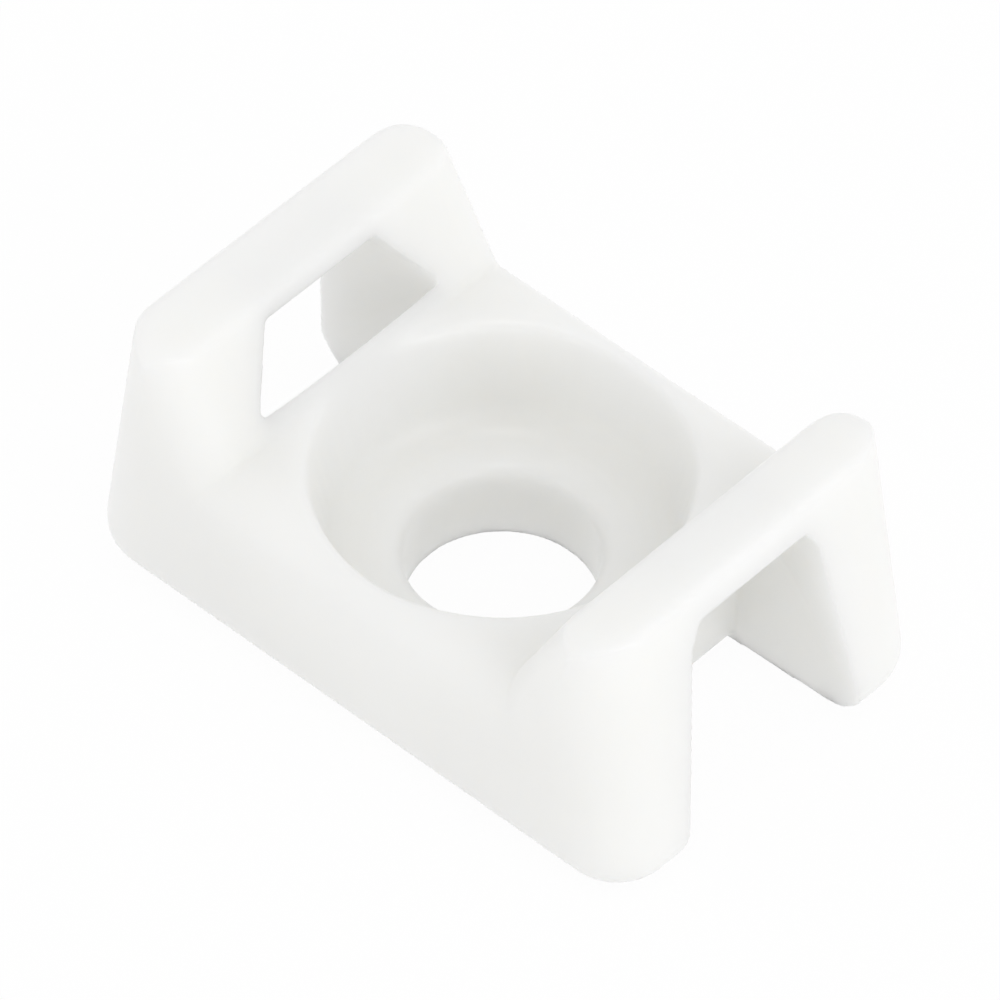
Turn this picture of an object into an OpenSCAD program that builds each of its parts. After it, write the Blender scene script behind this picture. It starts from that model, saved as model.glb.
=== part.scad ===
// Saddle mount for cable ties, moulded in one piece.
// Base centre at the origin, length along X, width along Y, screw axis along Z.

/* [Body] */
// Length over the feet
body_length = 22.7; // [21.5:0.1:26]
// Width over the feet
body_width = 14; // [13.4:0.1:17]
// Overall height, to the outer top edge of the end bars
body_height = 10.2; // [9.4:0.1:12]
// Height of the saddle that the cables lie on
saddle_height = 6.3; // [5.6:0.1:7]
// Radius of the four upright corners
corner_radius = 2; // [1.6:0.1:2.6]
// Lean of the end faces, from upright
end_lean = 7.8; // [5:0.1:10]
// Draft of the side walls, from upright
side_draft = 1.6; // [0.5:0.1:3]
// Radius along the bottom edge
foot_radius = 1.3; // [0.5:0.1:1.4]

/* [End bars] */
// Width of the top of an end bar
bar_width = 2.3; // [1.8:0.1:2.8]
// Height of an end bar's outer face, over its tie window
bar_thickness = 1.25; // [0.9:0.05:1.6]
// Slope from an end bar down to the saddle, from level
bar_slope = 62; // [56:1:68]
// Radius along the outer top edge of a bar
bar_edge_radius = 0.3; // [0.1:0.05:0.5]
// Radius along the inner top edge of a bar
bar_crest_radius = 0.5; // [0.2:0.1:0.8]
// Radius at the two ends of a bar's top
bar_end_radius = 0.8; // [0.4:0.1:1.2]
// Radius of the shoulders beside the saddle and the slopes
shoulder_radius = 1.4; // [0.6:0.1:1.5]

/* [Tie windows] */
// Width of a tie window at the base
window_width = 7.5; // [7:0.1:8.2]
// Draft of a window's side walls at the end face, from upright
window_draft = 9.8; // [6:0.1:11]
// Width of a window where it opens through the slope, at its lower edge
mouth_width = 7.9; // [6.5:0.1:8.2]
// Width of the same opening at its upper edge
mouth_top_width = 5; // [4.6:0.1:5.6]
// Rise of a bar's underside towards the saddle, from level
underside_rise = 7; // [2:1:9]
// Length of the block between the two windows
core_length = 12.7; // [12.4:0.1:13.2]
// Radius along the legs' inner edges, at the end faces
leg_edge_radius = 0.4; // [0.2:0.1:0.8]
// Radius along the bottom edge of the block between the windows
core_edge_radius = 0.9; // [0.3:0.1:1.2]

/* [Screw seat] */
// Diameter of the screw hole
hole_diameter = 6.1; // [4:0.1:6.4]
// Height of the floor under the screw head
seat_height = 2.8; // [2:0.1:3.4]
// Diameter of the bowl at that floor
seat_diameter = 10.4; // [9.6:0.1:10.8]
// Diameter of the bowl at the saddle
rim_diameter = 12; // [11.4:0.1:12.2]
// Radius between the floor and the bowl's wall
bowl_fillet = 1.2; // [0.4:0.1:1.4]
// Radius on the upper edge of the hole
hole_edge_radius = 0.5; // [0.2:0.1:0.8]

/* [Hidden] */
$fn = 96;

// How far a cut runs past the face that it opens
overrun = 1;
// Thickness of the outlines that the envelope is drawn over
skin = 0.001;
// Depth that a rounding goes into the two faces it joins, so that it cuts them and doesn't only touch
bite = 0.003;
// Height from which the walls are straight, clear of the rounded bottom edge
ankle_height = foot_radius * 1.3;
// Plan distance from an upright wall's foot to its corner centres, for a wall that leans by the angle
function foot_spread(angle) = foot_radius * ((1 + sin(angle)) / cos(angle) - 1);
// Half the length between the end faces at a height, as if their foot were sharp
function end_at(z) = body_length / 2 + foot_spread(end_lean) - z * tan(end_lean);
// Half the width between the side walls at a height, as if their foot were sharp
function side_at(z) = body_width / 2 + foot_spread(side_draft) - z * tan(side_draft);
// Height of a bar's inner top edge, with the top square to the leaning end face
crest_height = body_height - bar_width * tan(end_lean);
// Distance from the middle to the inner top edge of a bar
crest_x = end_at(body_height) - bar_width;
// Distance from the middle to the foot of a slope
slope_foot_x = crest_x - (crest_height - saddle_height) / tan(bar_slope);
// Height of a bar's underside at the end face
window_height = body_height - bar_thickness;
// Half the width of a tie window at a height, at the end face
function window_at(z) = window_width / 2 - z * tan(window_draft);
// Height of a bar's underside at a distance from the middle
function underside_at(x) = window_height + (end_at(window_height) - x) * tan(underside_rise);
// Height of a slope over the end of the block between the windows
core_top = saddle_height + max(0, core_length / 2 - slope_foot_x) * tan(bar_slope);
// Half widths of a window at the end of that block, with their heights
mouth_corners = [
    [window_width / 2, -overrun], [mouth_width / 2, core_top], [mouth_top_width / 2, underside_at(core_length / 2)]
];
// Slope of the bowl's wall, from level
bowl_slope = atan((saddle_height - seat_height) / ((rim_diameter - seat_diameter) / 2));

// Both ends, or both sides, of a form that is made for the positive one
module both(axis) {
    children();
    mirror(axis) children();
}

// Strip to take off along an outside edge, to round it. In its section the edge is at the origin,
// one face runs to the left and the other, at the inside angle, runs down. It lies along Z.
module edge_strip(radius, angle, length) {
    reach = radius / tan(angle / 2);
    grow = 1.3;
    linear_extrude(length, center = true) translate([-reach - bite, -radius - bite]) difference() {
        scale(grow) polygon([
            [0, 0], [0, radius], [reach, radius],
            [reach * (1 - cos(angle)), radius - reach * sin(angle)]
        ]);
        circle(radius);
    }
}

// Outer form up to the bars' top: leaning walls, upright corners and the rounded bottom edge
module envelope() {
    hull() both([1, 0, 0]) both([0, 1, 0]) {
        translate([body_length / 2 - corner_radius, body_width / 2 - corner_radius, foot_radius])
            rotate_extrude($fn = 64) intersection() {
                translate([corner_radius - foot_radius, 0]) circle(foot_radius, $fn = 32);
                translate([0, -foot_radius]) square([corner_radius, 2 * foot_radius]);
            }
        for (z = [ankle_height, body_height])
            translate([end_at(z) - corner_radius, side_at(z) - corner_radius, z])
                cylinder(r = corner_radius, h = skin, $fn = 64);
    }
}

// Rounds the two long top edges of whatever is cut off level at a height
module round_level_edges(height, radius) {
    both([0, 1, 0]) translate([0, side_at(height), height])
        rotate([90, 0, 90]) edge_strip(radius, 90 + side_draft, body_length * 2);
}

// Saddle between the bars, with its rounded shoulders, as wide and long as the envelope or more
module saddle() {
    difference() {
        translate([-body_length, -body_width, 0]) cube([body_length * 2, body_width * 2, saddle_height]);
        round_level_edges(saddle_height, shoulder_radius);
    }
}

// End bar and its two legs, before the window is cut, sloping down towards the saddle
module end_bar() {
    difference() {
        translate([0, -body_width, 0]) cube([body_length, body_width * 2, body_height + overrun]);
        // Everything over the bar's top
        translate([end_at(body_height), 0, body_height]) rotate([0, -end_lean, 0])
            translate([-body_length, -body_width, 0]) cube([body_length * 2, body_width * 2, body_length]);
        // Everything on the saddle's side of the slope
        translate([crest_x, 0, crest_height]) rotate([0, -bar_slope, 0])
            translate([-body_length * 1.5, -body_width, 0]) cube([body_length * 3, body_width * 2, body_length * 2]);
        both([0, 1, 0]) translate([0, side_at(0), 0]) rotate([side_draft, 0, 0]) {
            // Shoulder along the slope
            translate([crest_x, 0, crest_height]) rotate([0, 90 - bar_slope, 0])
                rotate([0, 0, 90]) edge_strip(shoulder_radius, 90, body_length * 2);
            // End of the bar's top
            translate([end_at(body_height), 0, body_height]) rotate([0, 90 - end_lean, 0])
                rotate([0, 0, 90]) edge_strip(bar_end_radius, 90, body_length * 2);
        }
        // Outer and inner top edges
        translate([end_at(body_height), 0, body_height]) rotate([90, 0, 0]) rotate(end_lean)
            edge_strip(bar_edge_radius, 90, body_width * 2);
        translate([crest_x, 0, crest_height]) mirror([1, 0, 0]) rotate([90, 0, 0]) rotate(-end_lean)
            edge_strip(bar_crest_radius, 180 - bar_slope + end_lean, body_width * 2);
    }
}

// Upright slice across the part, symmetric about its middle, from half widths at heights
module slice(x, thickness, corners) {
    translate([x, 0, 0]) rotate([90, 0, 90]) linear_extrude(thickness)
        polygon(concat(corners, [for (i = [len(corners) - 1 : -1 : 0]) [-corners[i][0], corners[i][1]]]));
}

// Space under a bar for the tie, open to the end, to the base and up through the slope.
// Its walls change from the drafted outline at the end face to the flared one at the slope.
module tie_window() {
    inner_x = core_length / 2;
    outer_x = end_at(0) + overrun;
    top = underside_at(outer_x);
    intersection() {
        translate([inner_x, -body_width, -overrun]) cube([body_length, body_width * 2, body_height * 2]);
        union() {
            hull() {
                slice(inner_x - skin, skin * 2, mouth_corners);
                slice(outer_x, skin, [[window_at(-overrun), -overrun], [window_at(top), top]]);
            }
            // Rounded inner edges of the two legs
            both([0, 1, 0]) intersection() {
                translate([end_at(0), window_at(0), 0]) rotate([window_draft, 0, 0]) rotate([0, -end_lean, 0])
                    mirror([0, 1, 0]) edge_strip(leg_edge_radius, 90, body_height * 3);
                translate([0, -body_width, -overrun]) cube([body_length, body_width * 2, window_height + overrun]);
            }
        }
    }
    // Rounded bottom edge of the block between the windows
    intersection() {
        slice(inner_x - core_edge_radius * 2, core_edge_radius * 2 + skin, mouth_corners);
        translate([inner_x, 0, 0]) rotate([90, 0, 0]) mirror([0, 1, 0])
            edge_strip(core_edge_radius, 90, body_width);
    }
}

// Half section to turn into a fillet in a hollow corner: what stays between the two faces and the arc.
// The corner is at the origin, one face runs to the left and the other rises at the angle from it.
module corner_fill(radius, angle) {
    reach = radius / tan(angle / 2);
    difference() {
        polygon([[0, 0], [-reach, 0], [-reach, radius], [cos(angle) * reach, sin(angle) * reach]]);
        translate([-reach, radius]) circle(radius);
    }
}

// Bowl for the screw head, with its flat floor, and the hole
module screw_seat() {
    wall_top = rim_diameter / 2 + (body_height - saddle_height) / tan(bowl_slope);
    hole_r = hole_diameter / 2;
    rotate_extrude() {
        difference() {
            polygon([[0, seat_height], [seat_diameter / 2, seat_height], [wall_top, body_height], [0, body_height]]);
            translate([seat_diameter / 2, seat_height]) corner_fill(bowl_fillet, 180 - bowl_slope);
        }
        // Rounded upper edge of the hole
        difference() {
            translate([0, seat_height - hole_edge_radius])
                square([hole_r + hole_edge_radius, hole_edge_radius + skin]);
            translate([hole_r + hole_edge_radius, seat_height - hole_edge_radius]) circle(hole_edge_radius);
        }
    }
    translate([0, 0, -overrun]) cylinder(d = hole_diameter, h = seat_height + overrun);
}

// Whole moulding
module saddle_mount() {
    color("#f1f1ee") difference() {
        intersection() {
            envelope();
            union() {
                saddle();
                both([1, 0, 0]) end_bar();
            }
        }
        both([1, 0, 0]) tie_window();
        screw_seat();
    }
}

saddle_mount();
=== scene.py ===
import math
import bmesh
import bpy
from mathutils import Matrix, Vector


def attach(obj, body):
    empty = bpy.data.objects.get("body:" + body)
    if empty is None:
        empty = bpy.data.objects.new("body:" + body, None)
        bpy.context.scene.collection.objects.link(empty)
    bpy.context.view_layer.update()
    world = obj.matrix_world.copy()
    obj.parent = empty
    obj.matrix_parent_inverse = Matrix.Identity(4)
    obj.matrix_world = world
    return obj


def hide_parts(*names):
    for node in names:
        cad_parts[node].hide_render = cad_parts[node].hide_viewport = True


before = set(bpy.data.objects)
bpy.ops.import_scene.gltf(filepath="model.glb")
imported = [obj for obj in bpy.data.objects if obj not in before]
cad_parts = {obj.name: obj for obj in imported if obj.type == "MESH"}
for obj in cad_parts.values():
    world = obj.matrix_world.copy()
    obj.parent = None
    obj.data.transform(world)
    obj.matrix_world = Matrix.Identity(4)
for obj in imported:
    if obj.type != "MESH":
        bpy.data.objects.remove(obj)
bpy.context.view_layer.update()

MM = 0.001

# View: the mount seen from in front, to the right and well above, through a long lens
VIEW_AZIMUTH = 42.56
VIEW_ELEVATION = 47.89
VIEW_ROLL = 0.19
VIEW_DISTANCE = 350.5 * MM
VIEW_RISE = 3.27 * MM
VIEW_SLIDE = -0.07 * MM
LENS = 407.6
SENSOR = 36.0
NEAREST_SEEN = 0.01
FARTHEST_SEEN = 10.0

# Surface mesh of the moulding: fine enough for its small radii, then thinned out on the flats
WELD_DISTANCE = 0.0005 * MM
VOXEL = 0.06 * MM
SMOOTH_FACTOR = 0.5
SMOOTH_PASSES = 26
TRIANGLES = 180000

# Bowl for the screw head: radius and height of its floor's rim and of its upper rim
SEAT_RADIUS = 5.2 * MM
SEAT_HEIGHT = 2.8 * MM
RIM_RADIUS = 6.0 * MM
RIM_HEIGHT = 6.3 * MM

# Fillet between the bowl's floor and wall: its radius, how deep its ring goes into both, and its steps
FILLET = 1.2 * MM
BURIED = 0.3 * MM
RING_STEPS = 180
ARC_STEPS = 12

# Extra rounding of the bowl's rim and of the hole's upper edge: radius, height and reach of each
SOFT_CIRCLES = (
    (RIM_RADIUS, RIM_HEIGHT, 1.4 * MM),
    (3.3 * MM, 2.65 * MM, 1.0 * MM),
)
SOFT_PASSES = 260

# Natural nylon 66: milky white, a little greyer where the melt is denser
NYLON_PALE = "f6f6f4"
NYLON_DENSE = "f2f2f0"
NYLON_ROUGHNESS = 0.28
NYLON_IOR = 1.53
# Light in its thin walls: the share that enters, how far each colour goes, and the depth for a reach of 1
INNER_LIGHT = 1.0
INNER_REACH = (1.0, 0.98, 0.95)
INNER_DEPTH = 1.8 * MM
# Width, depth and strength of the moulded skin's unevenness, drawn coarser than it is so that it shows
SKIN_WIDTH = 0.6 * MM
SKIN_DEPTH = 0.01 * MM
SKIN_STRENGTH = 0.08
SKIN_DETAIL = 3.0
# Width of the clouds of denser melt
CLOUD_WIDTH = 5 * MM
CLOUD_DETAIL = 2.0

# Table: its width in metres, its colour, and how much of it shows as plain white
TABLE_WIDTH = 2.0
TABLE_COLOUR = "fcfcfc"
TABLE_WHITE_SHARE = 0.95

# Light that the surroundings give, brighter at the level of the table, and their plain white where seen
HORIZON = 1.24
ZENITH = 0.93
PLAIN_WHITE = 1.0

# Lamps that face the mount: place and width in metres, power in watts
KEY_PLACE = (0.45, 0.0, 0.3)
KEY_WIDTH = 0.4
KEY_POWER = 0.45
TOP_PLACE = (0.0, 0.0, 0.55)
TOP_WIDTH = 0.1
TOP_POWER = 0.12


def linear(hex_colour):
    """Linear RGBA of an sRGB hex colour."""
    values = [int(hex_colour[i:i + 2], 16) / 255 for i in (0, 2, 4)]
    return [v / 12.92 if v <= 0.04045 else ((v + 0.055) / 1.055) ** 2.4 for v in values] + [1.0]


def add(tree, kind, settings=None, **links):
    """Add a node; settings are attributes or input values, links are outputs that feed an input."""
    node = tree.nodes.new(kind)
    for name, value in (settings or {}).items():
        if name in node.inputs:
            node.inputs[name].default_value = value
        else:
            setattr(node, name, value)
    for name, output in links.items():
        tree.links.new(output, node.inputs[name.replace("_", " ")])
    return node


def mix(tree, share, first, second):
    """Mix two shaders, with the second one by its share."""
    mixed = add(tree, "ShaderNodeMixShader", Fac=share)
    tree.links.new(first, mixed.inputs[1])
    tree.links.new(second, mixed.inputs[2])
    return mixed.outputs["Shader"]


def new_material(name):
    """An empty node material."""
    material = bpy.data.materials.new(name)
    material.use_nodes = True
    material.node_tree.nodes.clear()
    return material, material.node_tree


def seen_directly(tree):
    """1 for camera, mirror and see-through rays, 0 for the rays that carry light to the mount."""
    path = add(tree, "ShaderNodeLightPath")
    total = path.outputs["Is Camera Ray"]
    for name in ("Is Glossy Ray", "Is Transmission Ray"):
        either = add(tree, "ShaderNodeMath", {"operation": "MAXIMUM"})
        tree.links.new(total, either.inputs[0])
        tree.links.new(path.outputs[name], either.inputs[1])
        total = either.outputs["Value"]
    return total


def nylon_material():
    """Injection-moulded natural nylon 66: milky, lets light into its thin walls, with a satin skin."""
    material, tree = new_material("injection_moulded_natural_nylon_66")
    place = add(tree, "ShaderNodeTexCoord").outputs["Object"]
    skin = add(tree, "ShaderNodeTexNoise", {"Scale": 1 / SKIN_WIDTH, "Detail": SKIN_DETAIL}, Vector=place)
    bump = add(tree, "ShaderNodeBump", {
        "Strength": SKIN_STRENGTH,
        "Distance": SKIN_DEPTH,
    }, Height=skin.outputs["Fac"])
    cloud = add(tree, "ShaderNodeTexNoise", {"Scale": 1 / CLOUD_WIDTH, "Detail": CLOUD_DETAIL}, Vector=place)
    tint = add(tree, "ShaderNodeValToRGB", Fac=cloud.outputs["Fac"])
    tint.color_ramp.elements[0].color = linear(NYLON_DENSE)
    tint.color_ramp.elements[1].color = linear(NYLON_PALE)
    surface = add(tree, "ShaderNodeBsdfPrincipled", {
        "Roughness": NYLON_ROUGHNESS,
        "IOR": NYLON_IOR,
        "Subsurface Weight": INNER_LIGHT,
        "Subsurface Radius": INNER_REACH,
        "Subsurface Scale": INNER_DEPTH,
    }, Base_Color=tint.outputs["Color"], Normal=bump.outputs["Normal"])
    add(tree, "ShaderNodeOutputMaterial", Surface=surface.outputs["BSDF"])
    return material


def table_material():
    """Matt white table: lit paper white that keeps a faint shadow under the mount."""
    material, tree = new_material("matt_white_table")
    paper = add(tree, "ShaderNodeBsdfDiffuse", {"Color": linear(TABLE_COLOUR)})
    white = add(tree, "ShaderNodeEmission", {"Strength": PLAIN_WHITE})
    share = add(tree, "ShaderNodeMath", {"operation": "MULTIPLY"})
    share.inputs[1].default_value = TABLE_WHITE_SHARE
    tree.links.new(seen_directly(tree), share.inputs[0])
    surface = mix(tree, share.outputs["Value"], paper.outputs["BSDF"], white.outputs["Emission"])
    add(tree, "ShaderNodeOutputMaterial", Surface=surface)
    return material


def applied(piece):
    """Bake the modifiers of a piece into its mesh."""
    mesh = bpy.data.meshes.new_from_object(piece.evaluated_get(bpy.context.evaluated_depsgraph_get()))
    piece.modifiers.clear()
    piece.data = mesh


def add_bowl_fillet(work):
    """Add the ring that fills the corner between the bowl's floor and its wall, sunk a little into both."""
    slope = math.atan2(RIM_HEIGHT - SEAT_HEIGHT, RIM_RADIUS - SEAT_RADIUS)
    centre_r = SEAT_RADIUS - FILLET * math.tan(slope / 2)
    centre_z = SEAT_HEIGHT + FILLET
    turns = [slope * i / ARC_STEPS - math.pi / 2 for i in range(ARC_STEPS + 1)]
    section = [(centre_r + FILLET * math.cos(t), centre_z + FILLET * math.sin(t)) for t in turns]
    section.append((section[-1][0] + BURIED, section[-1][1]))
    section.append((SEAT_RADIUS + BURIED, SEAT_HEIGHT - BURIED))
    section.append((centre_r, SEAT_HEIGHT - BURIED))
    rings = []
    for step in range(RING_STEPS):
        turn = 2 * math.pi * step / RING_STEPS
        rings.append([work.verts.new((r * math.cos(turn), r * math.sin(turn), z)) for r, z in section])
    for step, ring in enumerate(rings):
        following = rings[(step + 1) % RING_STEPS]
        for i in range(len(section)):
            j = (i + 1) % len(section)
            work.faces.new((ring[i], ring[j], following[j], following[i]))


def closed_copy():
    """Merged copy of the solid's mesh, with the bowl's fillet added and all faces pointing outwards."""
    mesh = bpy.data.objects["saddle_mount"].data.copy()
    work = bmesh.new()
    work.from_mesh(mesh)
    bmesh.ops.remove_doubles(work, verts=work.verts, dist=WELD_DISTANCE)
    add_bowl_fillet(work)
    bmesh.ops.recalc_face_normals(work, faces=work.faces)
    work.to_mesh(mesh)
    work.free()
    return mesh


def softness(place):
    """Share of the extra rounding: 1 on the soft circles, falling to 0 at their reach."""
    around = math.hypot(place.x, place.y)
    return max(0.0, *(1 - math.hypot(around - radius, place.z - height) / reach
                      for radius, height, reach in SOFT_CIRCLES))


def moulding():
    """The moulded piece: one even skin over the solid, with its sharp edges softened, then thinned out."""
    piece = bpy.data.objects.new("moulded_mount", closed_copy())
    bpy.context.scene.collection.objects.link(piece)
    remesh = piece.modifiers.new("even_mesh", "REMESH")
    remesh.mode = "VOXEL"
    remesh.voxel_size = VOXEL
    remesh.use_smooth_shade = True
    applied(piece)
    soft = piece.vertex_groups.new(name="soft")
    for vertex in piece.data.vertices:
        share = softness(vertex.co)
        if share:
            soft.add([vertex.index], share, "REPLACE")
    for passes, group in ((SMOOTH_PASSES, ""), (SOFT_PASSES, "soft")):
        smooth = piece.modifiers.new("soft_edges", "SMOOTH")
        smooth.factor = SMOOTH_FACTOR
        smooth.iterations = passes
        smooth.vertex_group = group
    thin = piece.modifiers.new("fewer_triangles", "DECIMATE")
    # Each of the even mesh's quads counts as two triangles
    thin.ratio = min(1.0, TRIANGLES / (2 * len(piece.data.polygons)))
    applied(piece)
    piece.vertex_groups.clear()
    return piece


def camera():
    """Camera at its distance along the view, aimed a little above the middle of the base."""
    azimuth, elevation, roll = (math.radians(a) for a in (VIEW_AZIMUTH, VIEW_ELEVATION, VIEW_ROLL))
    away = Vector((math.cos(elevation) * math.sin(azimuth), -math.cos(elevation) * math.cos(azimuth),
                   math.sin(elevation)))
    right = Vector((math.cos(azimuth), math.sin(azimuth), 0))
    up = away.cross(right)
    eye = away * VIEW_DISTANCE
    target = up * VIEW_RISE + right * VIEW_SLIDE
    back = (eye - target).normalized()
    side = up.cross(back).normalized()
    top = back.cross(side)
    turned_side = math.cos(roll) * side + math.sin(roll) * top
    turned_top = -math.sin(roll) * side + math.cos(roll) * top
    data = bpy.data.cameras.new("camera")
    data.lens = LENS
    data.sensor_width = SENSOR
    data.clip_start = NEAREST_SEEN
    data.clip_end = FARTHEST_SEEN
    view = bpy.data.objects.new("camera", data)
    view.matrix_world = Matrix((
        (turned_side.x, turned_top.x, back.x, eye.x),
        (turned_side.y, turned_top.y, back.y, eye.y),
        (turned_side.z, turned_top.z, back.z, eye.z),
        (0, 0, 0, 1)))
    bpy.context.scene.collection.objects.link(view)
    bpy.context.scene.camera = view


def area_lamp(name, place, width, power):
    """A soft square lamp that faces the middle of the base."""
    data = bpy.data.lights.new(name, "AREA")
    data.shape = "SQUARE"
    data.size = width
    data.energy = power
    lamp = bpy.data.objects.new(name, data)
    lamp.location = place
    lamp.rotation_euler = Vector(place).to_track_quat("Z", "Y").to_euler()
    bpy.context.scene.collection.objects.link(lamp)


def white_surroundings():
    """White all round where it is seen, and a soft light that fades a little towards the top."""
    world = bpy.data.worlds.new("white_surroundings")
    bpy.context.scene.world = world
    world.use_nodes = True
    tree = world.node_tree
    tree.nodes.clear()
    ray = add(tree, "ShaderNodeTexCoord").outputs["Generated"]
    height = add(tree, "ShaderNodeSeparateXYZ", Vector=ray).outputs["Z"]
    strength = add(tree, "ShaderNodeMapRange", {"To Min": HORIZON, "To Max": ZENITH}, Value=height)
    lit = add(tree, "ShaderNodeBackground", Strength=strength.outputs["Result"])
    white = add(tree, "ShaderNodeBackground", {"Strength": PLAIN_WHITE})
    surface = mix(tree, seen_directly(tree), lit.outputs["Background"], white.outputs["Background"])
    add(tree, "ShaderNodeOutputWorld", Surface=surface)


def studio():
    """White table in white surroundings, a soft key lamp on the +X side and a small weak one overhead."""
    bpy.ops.mesh.primitive_plane_add(size=TABLE_WIDTH, location=(0, 0, 0))
    table = bpy.context.object
    table.name = "table"
    table.data.materials.append(table_material())
    white_surroundings()
    area_lamp("key", KEY_PLACE, KEY_WIDTH, KEY_POWER)
    area_lamp("top", TOP_PLACE, TOP_WIDTH, TOP_POWER)


bpy.context.scene.view_settings.view_transform = "Standard"
camera()
studio()
mount = moulding()
mount.data.materials.clear()
mount.data.materials.append(nylon_material())
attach(mount, "root")
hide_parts("saddle_mount")
